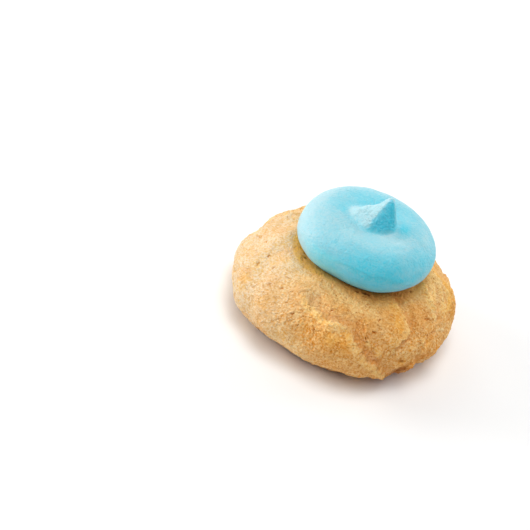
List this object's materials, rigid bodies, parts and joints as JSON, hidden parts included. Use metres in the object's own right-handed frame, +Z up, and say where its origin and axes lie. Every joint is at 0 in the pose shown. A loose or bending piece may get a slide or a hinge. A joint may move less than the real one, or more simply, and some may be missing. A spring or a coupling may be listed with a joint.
{
  "type": "iced thumbprint cookie",
  "caption": "Round baked thumbprint cookie whose pressed hollow holds a dollop of set pale blue icing with a pulled peak, resting on its flat base.",
  "frame": {"origin": "middle of the flat base, at the centre of the bounding box in X and Y", "axes": "+Z up through the icing's peak, -Y towards the side with the long fold in the dough, +X to the right of it"},
  "size_m": [0.0528, 0.0518, 0.0355],
  "materials": {
    "baked_dough": "matte crumbly baked dough, golden tan with browner edges",
    "blue_icing": "satin set sugar icing"
  },
  "bodies": {
    "root": {"dough": "baked_dough", "icing": "blue_icing"}
  },
  "joints": []
}
